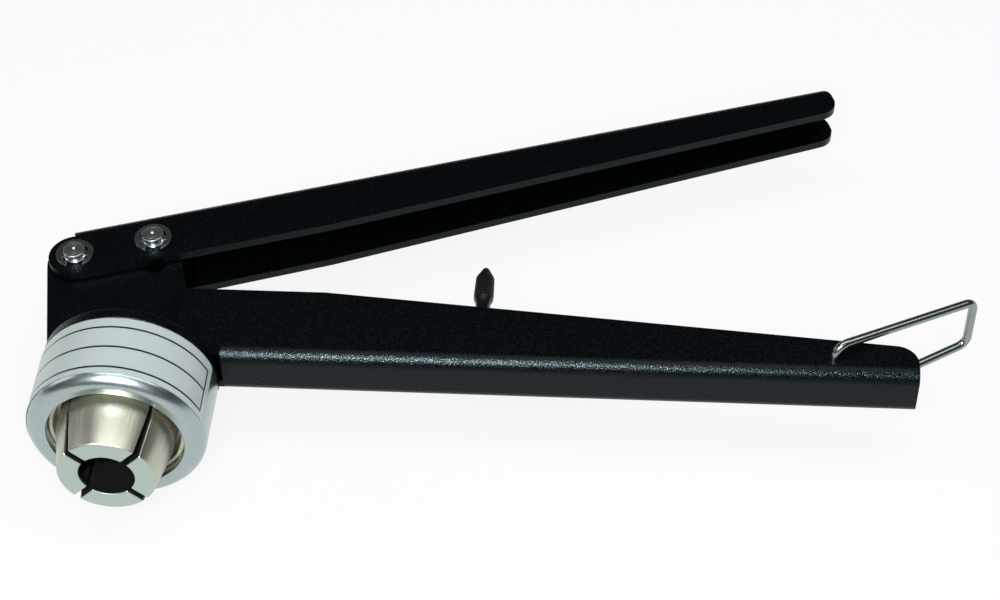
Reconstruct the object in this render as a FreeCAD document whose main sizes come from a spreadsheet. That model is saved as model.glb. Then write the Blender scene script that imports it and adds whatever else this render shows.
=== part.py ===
import FreeCAD, Part
import math
import os
import re
import Sketcher

# Hand-held vial decapper: two folded steel handles, a round head with four
# rocking jaws, and a plunger that the lever drives down between them.
# The head's axis is Y, pointing from the jaws to the lever, and Y = 0 is the
# jaws' end face. X runs along the fixed handle and Z across the tool, so that
# the tool lies on its side as on a bench.

doc = FreeCAD.newDocument("vial_decapper")
sheet = doc.addObject("Spreadsheet::Sheet", "Sizes")

SIZES = {
    # folded sheet
    "sheet_gauge": 2.0,
    "bend_radius": 3.0,
    # fixed handle
    "web_level": 30.2,
    "web_front": 20.3,
    "collar_step": 0.6,
    "handle_end": 173.3,
    "handle_width": 12.4,
    "handle_depth": 19.9,
    "handle_kink": 41.7,
    "handle_end_depth": 9.05,
    "handle_corner": 5.0,
    "ear_width": 9.0,
    "ear_front": 18.3,
    "ear_nose": 6.8,
    "ear_rear": 9.6,
    "ear_rear_top": 7.0,
    "joggle_start": 6.7,
    "notch_gap": 0.15,
    "relief_depth": 1.0,
    "relief_length": 1.5,
    # lever
    "pivot_level": 58.7,
    "drive_arm": 18.1,
    "rest_angle": 18.5,
    "lever_side_gap": 0.1,
    "lever_tip_width": 11.2,
    "lever_length": 186.5,
    "nose_gap": 0.2,
    "lever_top": "=ear_nose + nose_gap + sheet_gauge",
    "lever_nose": 6.1,
    "lever_web_start": 0.8,
    "lever_kink": 57.0,
    "lever_kink_depth": 6.15,
    "lever_tip_height": 9.75,
    "lever_tip_corner": 4.2,
    # pins, clips and washers
    "pin_radius": 2.5,
    "pin_head": 1.05,
    "pin_chamfer": 0.4,
    "groove_radius": 2.0,
    "groove_width": 0.8,
    "clip_radius": 4.3,
    "clip_inner": 3.1,
    "clip_gauge": 0.7,
    "clip_mouth": 3.6,
    "clip_prong": 1.5,
    "washer_radius": 5.0,
    "washer_gauge": 0.5,
    "running_gap": 0.05,
    # head
    "sleeve_wall": 4.65,
    "sleeve_bottom": 10.1,
    "sleeve_edge": 3.0,
    "sleeve_lip": 0.4,
    "collar_height": 2.6,
    "collar_inset": 0.1,
    "bush_clearance": 1.2,
    "bush_wall": 1.02,
    "bush_gap": 0.03,
    "bush_recess": 2.3,
    "label_lower_rim": 2.2,
    "label_upper_rim": 0.4,
    "label_gauge": 0.12,
    "label_start": 130.0,
    "label_span": 217.0,
    "guide_wall": 1.76,
    "guide_gap": 0.1,
    # jaws
    "jaw_count": 4,
    "jaw_top": 24.5,
    "jaw_tip_radius": 10.7,
    "jaw_body_radius": 12.7,
    "jaw_cone_length": 10.0,
    "mouth_radius": 6.0,
    "mouth_lip": 1.2,
    "chamber_step": 0.6,
    "chamber_top": 13.0,
    "cone_seat_radius": 7.25,
    "slit_bottom": 1.65,
    "slit_top": 0.3,
    "fulcrum_level": 16.5,
    "fulcrum_groove_depth": 0.8,
    "fulcrum_groove_half": 1.3,
    "fulcrum_gap": 0.25,
    "fulcrum_bead_half": 0.75,
    "ring_level": 21.8,
    "ring_wire": 0.7,
    "ring_gap": 0.4,
    # plunger
    "cone_bottom": 21.15,
    "cone_top": 30.35,
    "cone_gap": 0.31,
    "cone_taper": 0.0436,
    "stem_radius": 3.5,
    "stem_bottom": 17.6,
    "stem_groove_radius": 2.7,
    "stem_clip_radius": 5.2,
    "tongue_half": 6.0,
    "tongue_corner": 2.0,
    "tongue_gap": 0.1,
    "tongue_over_pin": 4.8,
    "slot_gap": 0.1,
    "pad_gap": 1.0,
    "pad_face": 8.8,
    "pad_flange": 2.6,
    "pad_neck": 3.0,
    "pad_top": 17.6,
    # spring
    "spring_wire": 1.0,
    "spring_turns": 3,
    "spring_pitch": 1.15,
    "spring_clearance": 0.35,
    "spring_leg": 9.0,
    "anchor_drop": 12.7,
    # stop screw and its nut
    "stop_place": 76.8,
    "stop_tip": 65.1,
    "stop_radius": 2.3,
    "stop_tip_radius": 0.8,
    "stop_cone": 3.4,
    "stop_knurl": 6.6,
    "stop_waist": 1.7,
    "stop_waist_length": 5.0,
    "stop_travel": 4.0,
    "stop_floor_gap": 0.3,
    "thread_radius": 2.0,
    "thread_gap": 0.06,
    "nut_flats": 7.0,
    "nut_height": 8.0,
    # bail
    "bail_place": 154.9,
    "bail_level": 35.25,
    "bail_wire": 2.0,
    "bail_angle": 29.1,
    "bail_reach": 36.2,
    "bail_tail": 3.2,
    "bail_spread": 9.6,
    "bail_crossbar": 6.8,
    "bail_elbow": 3.1,
    "bail_corner": 2.5,
}

for row, (alias, value) in enumerate(SIZES.items(), start=1):
    sheet.set("A%d" % row, str(value))
    sheet.setAlias("A%d" % row, alias)
doc.recompute()


def formula(text):
    """An expression with every alias tied to the sheet."""
    return re.sub(r"[a-z_]+", lambda m: "Sizes." + m.group(0) if m.group(0) in SIZES else m.group(0), str(text))


def size(text):
    """The value of an expression in the sheet's sizes."""
    return float(sheet.evalExpression(formula(text)))


def bind(thing, prop, text):
    """Ties one property of an object to the sheet."""
    thing.setExpression(prop, formula(text))


# Places that several pieces share, written in the sheet's sizes.
ear_half = "(ear_width / 2)"
ear_inner = "(ear_width / 2 - sheet_gauge)"
cheek_half = "(handle_width / 2)"
cheek_inner = "(handle_width / 2 - sheet_gauge)"
cheek_top = "(web_level + handle_depth)"
web_top = "(web_level + sheet_gauge)"
collar_top = "(web_level + collar_step)"
ear_top = "(pivot_level + ear_nose)"
pivot_x = "(-drive_arm * cos(rest_angle))"
drive_y = "(pivot_level + drive_arm * sin(rest_angle))"
drive_closed_x = "(drive_arm * (1 - cos(rest_angle)))"
lever_inner = "(ear_width / 2 + washer_gauge + lever_side_gap)"
lever_half = "(ear_width / 2 + washer_gauge + lever_side_gap + sheet_gauge)"
lever_tip_half = "(lever_tip_width / 2)"
lever_tip_low = "(lever_top - lever_tip_height)"
clip_seat = "(%s + running_gap)" % lever_half
pin_reach = "(%s + groove_width + pin_head)" % clip_seat
tongue_thick = "(ear_width - 2 * sheet_gauge - 2 * tongue_gap)"
collar_bottom = "(%s - collar_height)" % collar_top
bush_inner = "(jaw_body_radius + bush_clearance)"
sleeve_bore = "(jaw_body_radius + bush_clearance + bush_wall + bush_gap)"
head_radius = "(jaw_body_radius + bush_clearance + bush_wall + bush_gap + sleeve_wall)"
collar_radius = "(%s - collar_inset)" % head_radius
cone_bottom_radius = "(cone_seat_radius - cone_gap)"
cone_top_radius = "(cone_seat_radius - cone_gap + cone_taper * (cone_top - cone_bottom))"
guide_bore = "(%s + guide_gap)" % cone_top_radius
guide_outer = "(%s + guide_wall)" % guide_bore
ring_radius = "(jaw_body_radius - 0.6)"
ring_groove = "(jaw_body_radius - 0.6 - ring_wire - ring_gap)"
stop_shoulder = "(stop_tip - stop_cone - stop_knurl)"
coil_radius = "(pin_radius + spring_clearance + spring_wire / 2)"

ORIGIN = FreeCAD.Vector(0, 0, 0)
Y_AXIS = FreeCAD.Vector(0, 1, 0)
Z_AXIS = FreeCAD.Vector(0, 0, 1)
PLANES = {"XY": "XY_Plane", "XZ": "XZ_Plane", "YZ": "YZ_Plane"}


def new_body(name):
    """An empty body that carries a sub-part's name."""
    body = doc.addObject("PartDesign::Body", name)
    body.Label = name
    return body


def new_sketch(body, name, plane, offset="0"):
    """A sketch on one of the body's own planes, moved along its normal."""
    sketch = body.newObject("Sketcher::SketchObject", name)
    role = PLANES[plane]
    support = [feature for feature in body.Origin.OriginFeatures if feature.Role == role][0]
    sketch.AttachmentSupport = [(support, "")]
    sketch.MapMode = "FlatFace"
    if offset != "0":
        bind(sketch, "AttachmentOffset.Base.z", offset)
    return sketch


def tie_point(sketch, edge, end, x_text, y_text):
    """Holds one end of an edge at a place given by two expressions."""
    for kind, text in (("DistanceX", x_text), ("DistanceY", y_text)):
        index = sketch.addConstraint(Sketcher.Constraint(kind, -1, 1, edge, end, size(text)))
        bind(sketch, "Constraints[%d]" % index, text)


def arc_between(start, stop, radius):
    """The arc from start to stop, turning left if the radius is positive."""
    chord = stop - start
    reach = math.sqrt(max(radius ** 2 - (chord.Length / 2) ** 2, 0.0))
    left = FreeCAD.Vector(-chord.y, chord.x, 0).normalize()
    side = 1 if radius > 0 else -1
    centre = (start + stop) * 0.5 + left * (reach * side)
    first, last = (start, stop) if radius > 0 else (stop, start)
    a0 = math.atan2(first.y - centre.y, first.x - centre.x)
    a1 = math.atan2(last.y - centre.y, last.x - centre.x)
    circle = Part.Circle(centre, Z_AXIS, abs(radius))
    return Part.ArcOfCircle(circle, a0, a1 if a1 > a0 else a1 + 2 * math.pi)


def outline(sketch, corners, closed=True):
    """Draws straight edges and arcs through the corners of an outline.

    A corner is (x, y) where a straight edge leaves it, or (x, y, radius)
    where an arc does, with a minus before the radius for a right turn.
    """
    first = sketch.GeometryCount
    points = [FreeCAD.Vector(size(c[0]), size(c[1]), 0) for c in corners]
    count = len(corners) if closed else len(corners) - 1
    ends = []
    for i in range(count):
        start = points[i]
        stop = points[(i + 1) % len(points)]
        if len(corners[i]) == 3:
            turn = size(corners[i][2])
            sketch.addGeometry(arc_between(start, stop, turn))
            ends.append((1, 2) if turn > 0 else (2, 1))
        else:
            sketch.addGeometry(Part.LineSegment(start, stop))
            ends.append((1, 2))
    for i in range(count):
        tie_point(sketch, first + i, ends[i][0], corners[i][0], corners[i][1])
        if closed or i < count - 1:
            after = (i + 1) % count
            sketch.addConstraint(
                Sketcher.Constraint("Coincident", first + i, ends[i][1], first + after, ends[after][0])
            )
        if len(corners[i]) == 3:
            text = corners[i][2]
            turn = size(text)
            index = sketch.addConstraint(Sketcher.Constraint("Radius", first + i, abs(turn)))
            bind(sketch, "Constraints[%d]" % index, "abs(%s)" % text)
    if not closed:
        tie_point(sketch, first + count - 1, ends[-1][1], corners[-1][0], corners[-1][1])


def circle(sketch, x_text, y_text, radius_text):
    """Draws a circle about a place given by two expressions."""
    place = FreeCAD.Vector(size(x_text), size(y_text), 0)
    edge = sketch.addGeometry(Part.Circle(place, Z_AXIS, size(radius_text)))
    tie_point(sketch, edge, 3, x_text, y_text)
    index = sketch.addConstraint(Sketcher.Constraint("Radius", edge, size(radius_text)))
    bind(sketch, "Constraints[%d]" % index, radius_text)


def pad(body, name, sketch, length="1", midplane=False, backwards=False):
    """Grows a sketch into the body."""
    feature = body.newObject("PartDesign::Pad", name)
    feature.Profile = sketch
    bind(feature, "Length", length)
    feature.Midplane = midplane
    feature.Reversed = backwards
    sketch.Visibility = False
    return feature


def cut(body, name, sketch, length=None, midplane=False, backwards=False):
    """Cuts a sketch out of the body, right through where no length is given."""
    feature = body.newObject("PartDesign::Pocket", name)
    feature.Profile = sketch
    if length is None:
        feature.Type = "ThroughAll"
    else:
        bind(feature, "Length", length)
    feature.Midplane = midplane
    feature.Reversed = backwards
    sketch.Visibility = False
    return feature


def turned(name, corners, plane="XY", angle="360"):
    """A body turned about its sketch's upright axis."""
    body = new_body(name)
    sketch = new_sketch(body, name + "_section", plane)
    outline(sketch, corners)
    feature = body.newObject("PartDesign::Revolution", name + "_turning")
    feature.Profile = sketch
    feature.ReferenceAxis = (sketch, ["V_Axis"])
    bind(feature, "Angle", angle)
    sketch.Visibility = False
    return body


def place(thing, x="0", y="0", z="0"):
    """Sets where a sub-part lies."""
    for axis, text in (("x", x), ("y", y), ("z", z)):
        if text != "0":
            bind(thing, "Placement.Base." + axis, text)


def turn(thing, axis, angle):
    """Sets which way a sub-part is turned, about one axis."""
    thing.Placement = FreeCAD.Placement(thing.Placement.Base, FreeCAD.Rotation(axis, size(angle)))
    bind(thing, "Placement.Rotation.Angle", angle + " * 1 deg")


def channel_section(sketch, half, low, high, open_up):
    """Draws a folded channel's section: web, two bends and two cheeks.

    The sketch's x axis is the cheeks' height and its y axis runs across.
    """
    back, rim = (low, high) if open_up else (high, low)
    way = "1" if open_up else "-1"
    outer = "(%s + %s * bend_radius)" % (back, way)
    inner_face = "(%s + %s * sheet_gauge)" % (back, way)
    inner_bend = "(bend_radius - sheet_gauge)"
    sign = "" if open_up else "-"
    outline(sketch, [
        (rim, half),
        (outer, half, sign + "bend_radius"),
        (back, "(%s - bend_radius)" % half),
        (back, "(bend_radius - %s)" % half, sign + "bend_radius"),
        (outer, "-" + half),
        (rim, "-" + half),
        (rim, "(sheet_gauge - %s)" % half),
        (outer, "(sheet_gauge - %s)" % half, ("-" if open_up else "") + inner_bend),
        (inner_face, "(bend_radius - %s)" % half),
        (inner_face, "(%s - bend_radius)" % half, ("-" if open_up else "") + inner_bend),
        (outer, "(%s - sheet_gauge)" % half),
        (rim, "(%s - sheet_gauge)" % half),
    ])


def both_sides(sketch, corners):
    """Draws an outline on the near side of the tool and mirrored on the far side."""
    outline(sketch, corners)
    outline(sketch, [(x, "-" + z) for x, z in reversed(corners)])


def make_fixed_handle():
    """Channel with a flat web, cheeks that carry on as ears over the head, and a step between them."""
    body = new_body("fixed_handle")
    section = new_sketch(body, "handle_section", "YZ", "web_front")
    channel_section(section, cheek_half, "web_level", cheek_top, True)
    pad(body, "handle_channel", section, "handle_end - web_front")

    front = "(-ear_front - 2 * ear_nose)"
    ears = new_sketch(body, "ear_plan", "XZ", "-web_level")
    both_sides(ears, [
        (front, ear_inner),
        ("joggle_start", ear_inner),
        ("joggle_start", ear_half),
        (front, ear_half),
    ])
    pad(body, "ear_plates", ears, ear_top + " - web_level", backwards=True)

    joggle = new_sketch(body, "joggle_plan", "XZ", "-web_level")
    both_sides(joggle, [
        ("(joggle_start - 0.5)", ear_inner),
        ("joggle_start", ear_inner),
        ("ear_rear", cheek_inner),
        ("web_front", cheek_inner),
        ("web_front", cheek_half),
        ("ear_rear", cheek_half),
        ("joggle_start", ear_half),
        ("(joggle_start - 0.5)", ear_half),
    ])
    pad(body, "joggle_plates", joggle, "handle_depth", backwards=True)

    rear = new_sketch(body, "ear_rear_plan", "XZ", "-(%s - sheet_gauge)" % cheek_top)
    both_sides(rear, [
        ("(joggle_start - 0.5)", ear_inner),
        ("ear_rear", ear_inner),
        ("ear_rear", ear_half),
        ("(joggle_start - 0.5)", ear_half),
    ])
    pad(body, "ear_rear_plates", rear, ear_top + " - " + cheek_top + " + sheet_gauge", backwards=True)

    # The blank's outline: slanted front edge, nose round the pivot, notch for
    # the drive pin, then the long taper down to the rounded end.
    trim = new_sketch(body, "blank_outline", "XY")
    lean = "asin(ear_nose / sqrt((ear_front + %s)^2 + (pivot_level - web_level)^2))" % pivot_x
    base = "atan2(pivot_level - web_level; %s + ear_front)" % pivot_x
    tangent = "(%s + %s)" % (base, lean)
    nose_x = "(%s - ear_nose * sin(%s))" % (pivot_x, tangent)
    nose_y = "(pivot_level + ear_nose * cos(%s))" % tangent
    slope = "(%s - (%%s - %s) * 0.2)" % (ear_top, pivot_x)
    reach = "(pin_radius + notch_gap)"
    notch_left = "(-%s)" % reach
    notch_right = "(%s + %s)" % (drive_closed_x, reach)
    outline(trim, [
        ("(-ear_front)", "web_level"),
        (nose_x, nose_y, "-ear_nose"),
        (pivot_x, ear_top),
        (notch_left, slope % notch_left),
        ("(%s - %s)" % (drive_closed_x, reach), "pivot_level", reach),
        (drive_closed_x, "(pivot_level - %s)" % reach, reach),
        (notch_right, "pivot_level"),
        (notch_right, slope % notch_right),
        ("ear_rear_top", slope % "ear_rear_top"),
        ("ear_rear", cheek_top),
        ("handle_kink", cheek_top),
        ("(handle_end - handle_corner)", "(web_level + handle_end_depth)", "-handle_corner"),
        ("handle_end", "(web_level + handle_end_depth - handle_corner)"),
        ("handle_end", "(web_level - 2)"),
        ("(handle_end + 4)", "(web_level - 2)"),
        ("(handle_end + 4)", "(%s + 4)" % ear_top),
        ("(-ear_front - 3 * ear_nose)", "(%s + 4)" % ear_top),
        ("(-ear_front - 3 * ear_nose)", "(web_level - 2)"),
        ("(-ear_front)", "(web_level - 2)"),
    ])
    cut(body, "blank_trim", trim, "2 * handle_width", midplane=True)

    # The ears stand on the collar, a little above the web, and are cut away
    # further between the collar and the bend.
    foot = new_sketch(body, "ear_foot", "XY")
    outline(foot, [
        ("(-2 * ear_front)", "(web_level - 1)"),
        ("web_front", "(web_level - 1)"),
        ("web_front", "(%s + relief_depth)" % collar_top),
        ("(web_front - relief_length)", "(%s + relief_depth)" % collar_top),
        ("(web_front - relief_length)", collar_top),
        ("(-2 * ear_front)", collar_top),
    ])
    cut(body, "foot_cut", foot, "2 * handle_width", midplane=True)

    holes = new_sketch(body, "cheek_holes", "XY")
    circle(holes, pivot_x, "pivot_level", "pin_radius")
    circle(holes, "bail_place", "bail_level", "bail_wire / 2 + running_gap")
    cut(body, "cheek_drilling", holes, "2 * handle_width", midplane=True)

    anchor = new_sketch(body, "spring_hole", "XY")
    circle(anchor, pivot_x + " + " + coil_radius, "pivot_level - anchor_drop", "spring_wire / 2 + running_gap")
    cut(body, "spring_drilling", anchor, "handle_width")
    return body


def make_lever():
    """Tapering channel, open towards the fixed handle, with its nose round the pivot.

    It is drawn along X with the pivot at the origin, then turned up to the rest angle.
    """
    body = new_body("lever")
    front = new_sketch(body, "lever_front_section", "YZ", "lever_web_start")
    channel_section(front, lever_half, "(-lever_nose)", "lever_top", False)
    back = new_sketch(body, "lever_tip_section", "YZ", "lever_length")
    channel_section(back, lever_tip_half, "(-lever_nose)", "lever_top", False)
    loft = body.newObject("PartDesign::AdditiveLoft", "lever_channel")
    loft.Profile = front
    loft.Sections = [back]
    loft.Ruled = True

    nose = new_sketch(body, "lever_nose_plan", "XZ", "lever_nose")
    both_sides(nose, [
        ("(-lever_nose)", lever_inner),
        ("(lever_web_start + 0.5)", lever_inner),
        ("(lever_web_start + 0.5)", lever_half),
        ("(-lever_nose)", lever_half),
    ])
    pad(body, "lever_nose_plates", nose, "2 * lever_nose", backwards=True)

    # Nose arc, straight lower edge, then the taper and the rounded tip.
    trim = new_sketch(body, "lever_outline", "XY")
    shoulder = "sqrt(lever_nose^2 - lever_web_start^2)"
    outline(trim, [
        ("lever_web_start", shoulder, "lever_nose"),
        ("(-lever_nose)", "0", "lever_nose"),
        ("0", "(-lever_nose)"),
        ("lever_kink", "(-lever_kink_depth)"),
        ("(lever_length - lever_tip_corner)", lever_tip_low, "lever_tip_corner"),
        ("lever_length", "(%s + lever_tip_corner)" % lever_tip_low),
        ("lever_length", "(lever_top - lever_tip_corner)", "lever_tip_corner"),
        ("(lever_length - lever_tip_corner)", "lever_top"),
        ("(lever_length - lever_tip_corner)", "(lever_top + 4)"),
        ("(lever_length + 4)", "(lever_top + 4)"),
        ("(lever_length + 4)", "(-2 * lever_nose)"),
        ("(-2 * lever_nose)", "(-2 * lever_nose)"),
        ("(-2 * lever_nose)", "(lever_top + 4)"),
        ("lever_web_start", "(lever_top + 4)"),
    ])
    cut(body, "lever_trim", trim, "4 * ear_width", midplane=True)

    holes = new_sketch(body, "lever_pin_holes", "XY")
    circle(holes, "0", "0", "pin_radius + running_gap")
    circle(holes, "drive_arm", "0", "pin_radius")
    cut(body, "lever_drilling", holes, "4 * ear_width", midplane=True)
    place(body, pivot_x, "pivot_level")
    turn(body, Z_AXIS, "rest_angle")
    return body


def make_pin(name, x, y):
    """Turned pin with a clip groove and a chamfer at each end."""
    groove_in = "(%s - running_gap)" % clip_seat
    groove_out = "(%s - running_gap + groove_width)" % clip_seat
    upper = [
        ("pin_radius", groove_in),
        ("groove_radius", groove_in),
        ("groove_radius", groove_out),
        ("pin_radius", groove_out),
        ("pin_radius", "(%s - pin_chamfer)" % pin_reach),
        ("(pin_radius - pin_chamfer)", pin_reach),
    ]
    lower = [(r, "-" + z) for r, z in reversed(upper)]
    body = turned(name, [("0", "-" + pin_reach)] + lower + upper + [("0", pin_reach)], plane="XZ")
    place(body, x, y)
    return body


def disc(name, radius, height, z):
    """A plain cylinder about Z, standing on the height z."""
    thing = doc.addObject("Part::Cylinder", name)
    bind(thing, "Radius", radius)
    bind(thing, "Height", height)
    place(thing, z=z)
    return thing


def block(name, lengths, corner):
    """A box with bound sides and a bound lowest corner."""
    thing = doc.addObject("Part::Box", name)
    for side, text in zip(("Length", "Width", "Height"), lengths):
        bind(thing, side, text)
    place(thing, *corner)
    return thing


def joined(kind, name, shapes):
    """One solid, or group of solids, from several shapes."""
    thing = doc.addObject(kind, name)
    if kind == "Part::Cut":
        thing.Base, thing.Tool = shapes
    elif kind == "Part::Compound":
        thing.Links = shapes
    else:
        thing.Shapes = shapes
    thing.Label = name
    return thing


def make_clip(name, z, turn_angle):
    """One spring clip: a ring open at one side, with three prongs that reach into the groove."""
    outside = disc(name + "_outside", "clip_radius", "clip_gauge", z)
    inside = disc(name + "_inside", "clip_inner", "clip_gauge", z)
    ring = joined("Part::Cut", name + "_ring", [outside, inside])
    reach = "(clip_inner + 0.4)"
    prongs = []
    for number, angle in enumerate((-8, 90, 188)):
        prong = block("%s_prong_%d" % (name, number), (reach, "clip_prong", "clip_gauge"), ("0", "0", z))
        side = FreeCAD.Rotation(Z_AXIS, angle)
        centre = side.multVec(FreeCAD.Vector(0, -size("clip_prong") / 2, 0))
        prong.Placement = FreeCAD.Placement(centre + FreeCAD.Vector(0, 0, size(z)), side)
        bind(prong, "Placement.Base.z", z)
        bind(prong, "Placement.Base.x", "clip_prong / 2 * sin(%d)" % angle)
        bind(prong, "Placement.Base.y", "-clip_prong / 2 * cos(%d)" % angle)
        prongs.append(prong)
    whole = joined("Part::MultiFuse", name + "_whole", [ring] + prongs)
    mouth = block(name + "_mouth", ("clip_mouth", "clip_radius + 1", "clip_gauge"),
                  ("-clip_mouth / 2", "-clip_radius - 1", z))
    hub = disc(name + "_hub", "groove_radius", "clip_gauge", z)
    gap = joined("Part::MultiFuse", name + "_gap", [mouth, hub])
    clip = joined("Part::Cut", name, [whole, gap])
    turn(clip, Z_AXIS, turn_angle)
    return clip


def make_clips(name, x, y):
    """The pair of clips on one pin."""
    near = make_clip(name + "_near", clip_seat, "rest_angle / 2")
    far = make_clip(name + "_far", "(-%s - clip_gauge)" % clip_seat, "rest_angle / 2")
    pair = joined("Part::Compound", name, [near, far])
    place(pair, x, y)
    return pair


def make_washers():
    """Two thin washers between the ears and the lever's cheeks."""
    rings = []
    for side, z in (("near", ear_half), ("far", "(-%s - washer_gauge)" % ear_half)):
        rim = disc("washer_rim_" + side, "washer_radius", "washer_gauge", z)
        hole = disc("washer_hole_" + side, "pin_radius + running_gap", "washer_gauge", z)
        rings.append(joined("Part::Cut", "washer_" + side, [rim, hole]))
    pair = joined("Part::Compound", "pivot_washers", rings)
    place(pair, pivot_x, "pivot_level")
    return pair


def make_torsion_spring():
    """Coil round the pivot pin; one leg up to the lever's web, one hooked into the far ear.

    The wire's middle line is a helix with straight legs that leave it along
    its tangents, drawn about the pin and swept with an eight-sided section.
    """
    wire = size("spring_wire") / 2
    radius = size(coil_radius)
    leg = size("spring_leg")
    drop = size("anchor_drop")
    pitch = size("spring_pitch")
    under_web = size("lever_top - sheet_gauge - running_gap") - wire
    lift = math.atan2(radius, leg) + math.asin(under_web / math.hypot(leg, radius))
    leaving = math.radians(size("rest_angle")) + lift
    last = 2 * math.pi * size("spring_turns") + leaving - math.pi / 2
    rise = pitch * last / (2 * math.pi)
    low = -rise / 2
    bend = 1.5 * wire

    hook_end = FreeCAD.Vector(radius, -drop, 0.1 - size(ear_half))
    hook_bend = FreeCAD.Vector(radius, -drop, low - bend)
    leg_bend = FreeCAD.Vector(radius, bend - drop, low)
    half_way = FreeCAD.Vector(radius, bend * (1 - math.sqrt(0.5)) - drop, low - bend * (1 - math.sqrt(0.5)))
    coil_start = FreeCAD.Vector(radius, 0, low)
    coil_end = FreeCAD.Vector(radius * math.cos(last), radius * math.sin(last), low + rise)
    leg_end = coil_end + FreeCAD.Vector(math.cos(leaving), math.sin(leaving), 0) * leg
    helix = Part.makeHelix(pitch, rise, radius)
    helix.translate(FreeCAD.Vector(0, 0, low))
    middle_line = Part.Wire([
        Part.LineSegment(hook_end, hook_bend).toShape(),
        Part.Arc(hook_bend, half_way, leg_bend).toShape(),
        Part.LineSegment(leg_bend, coil_start).toShape(),
        helix.Edges[0],
        Part.LineSegment(coil_end, leg_end).toShape(),
    ])
    corners = [hook_end + FreeCAD.Vector(math.cos(turn_by), math.sin(turn_by), 0) * wire
               for turn_by in (math.radians(45 * number) for number in range(9))]
    section = Part.makePolygon(corners)
    thing = doc.addObject("Part::Feature", "torsion_spring")
    thing.Shape = middle_line.makePipeShell([section], True, False)
    thing.Label = "torsion_spring"
    place(thing, pivot_x, "pivot_level")
    return thing


def make_head_collar():
    """Black flange that the ears stand on, with the bore for the plunger's guide."""
    return turned("head_collar", [
        (guide_outer, collar_bottom),
        ("(%s - 0.3)" % collar_radius, collar_bottom),
        (collar_radius, "(%s + 0.3)" % collar_bottom),
        (collar_radius, "(%s - 0.3)" % collar_top),
        ("(%s - 0.3)" % collar_radius, collar_top),
        (guide_outer, collar_top),
    ])


def make_plunger_guide():
    """Bronze bush in the collar's bore."""
    return turned("plunger_guide", [
        (guide_bore, collar_bottom),
        (guide_outer, collar_bottom),
        (guide_outer, collar_top),
        (guide_bore, collar_top),
    ])


def make_sleeve():
    """Bright turned sleeve with a rounded lower edge and a flat face round its bore."""
    return turned("sleeve", [
        (sleeve_bore, "(sleeve_bottom + sleeve_lip)"),
        ("(%s + sleeve_lip)" % sleeve_bore, "sleeve_bottom"),
        ("(%s - sleeve_edge)" % head_radius, "sleeve_bottom", "sleeve_edge"),
        (head_radius, "(sleeve_bottom + sleeve_edge)"),
        (head_radius, "(%s - 0.3)" % collar_bottom),
        ("(%s - 0.3)" % head_radius, collar_bottom),
        (sleeve_bore, collar_bottom),
    ])


def make_label():
    """Thin sticker wrapped round the sleeve."""
    label_high = "(%s - label_upper_rim)" % collar_bottom
    body = turned("label", [
        (head_radius, "(sleeve_bottom + label_lower_rim)"),
        ("(%s + label_gauge)" % head_radius, "(sleeve_bottom + label_lower_rim)"),
        ("(%s + label_gauge)" % head_radius, label_high),
        (head_radius, label_high),
    ], angle="label_span")
    turn(body, Y_AXIS, "label_start")
    return body


def make_bush():
    """Nickel-plated liner inside the sleeve, seen round the jaws."""
    liner = "(%s + bush_wall)" % bush_inner
    low = "(sleeve_bottom + bush_recess)"
    return turned("guide_bush", [
        ("(%s + 0.4)" % bush_inner, low),
        (liner, low),
        (liner, collar_bottom),
        (bush_inner, collar_bottom),
        (bush_inner, "(%s + 0.4)" % low),
    ])


def make_fulcrum_ring():
    """Ring with a blunt inner edge that the jaws rock on."""
    low = "(fulcrum_level - fulcrum_bead_half)"
    high = "(fulcrum_level + fulcrum_bead_half)"
    edge = "(jaw_body_radius - fulcrum_groove_depth + fulcrum_gap)"
    return turned("fulcrum_ring", [
        ("(%s + fulcrum_bead_half)" % edge, low),
        (bush_inner, low),
        (bush_inner, high),
        ("(%s + fulcrum_bead_half)" % edge, high),
        (edge, "(fulcrum_level + fulcrum_bead_half / 3)"),
        (edge, "(fulcrum_level - fulcrum_bead_half / 3)"),
    ])


def make_return_ring():
    """Elastic ring that draws the jaws' upper ends together and so opens them, with an eight-sided section."""
    corners = []
    for number in range(8):
        out = "ring_wire * cos(%d)" % (45 * number)
        up = "ring_wire * sin(%d)" % (45 * number)
        corners.append(("(%s + %s)" % (ring_radius, out), "(ring_level + %s)" % up))
    return turned("jaw_return_ring", corners)


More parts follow.
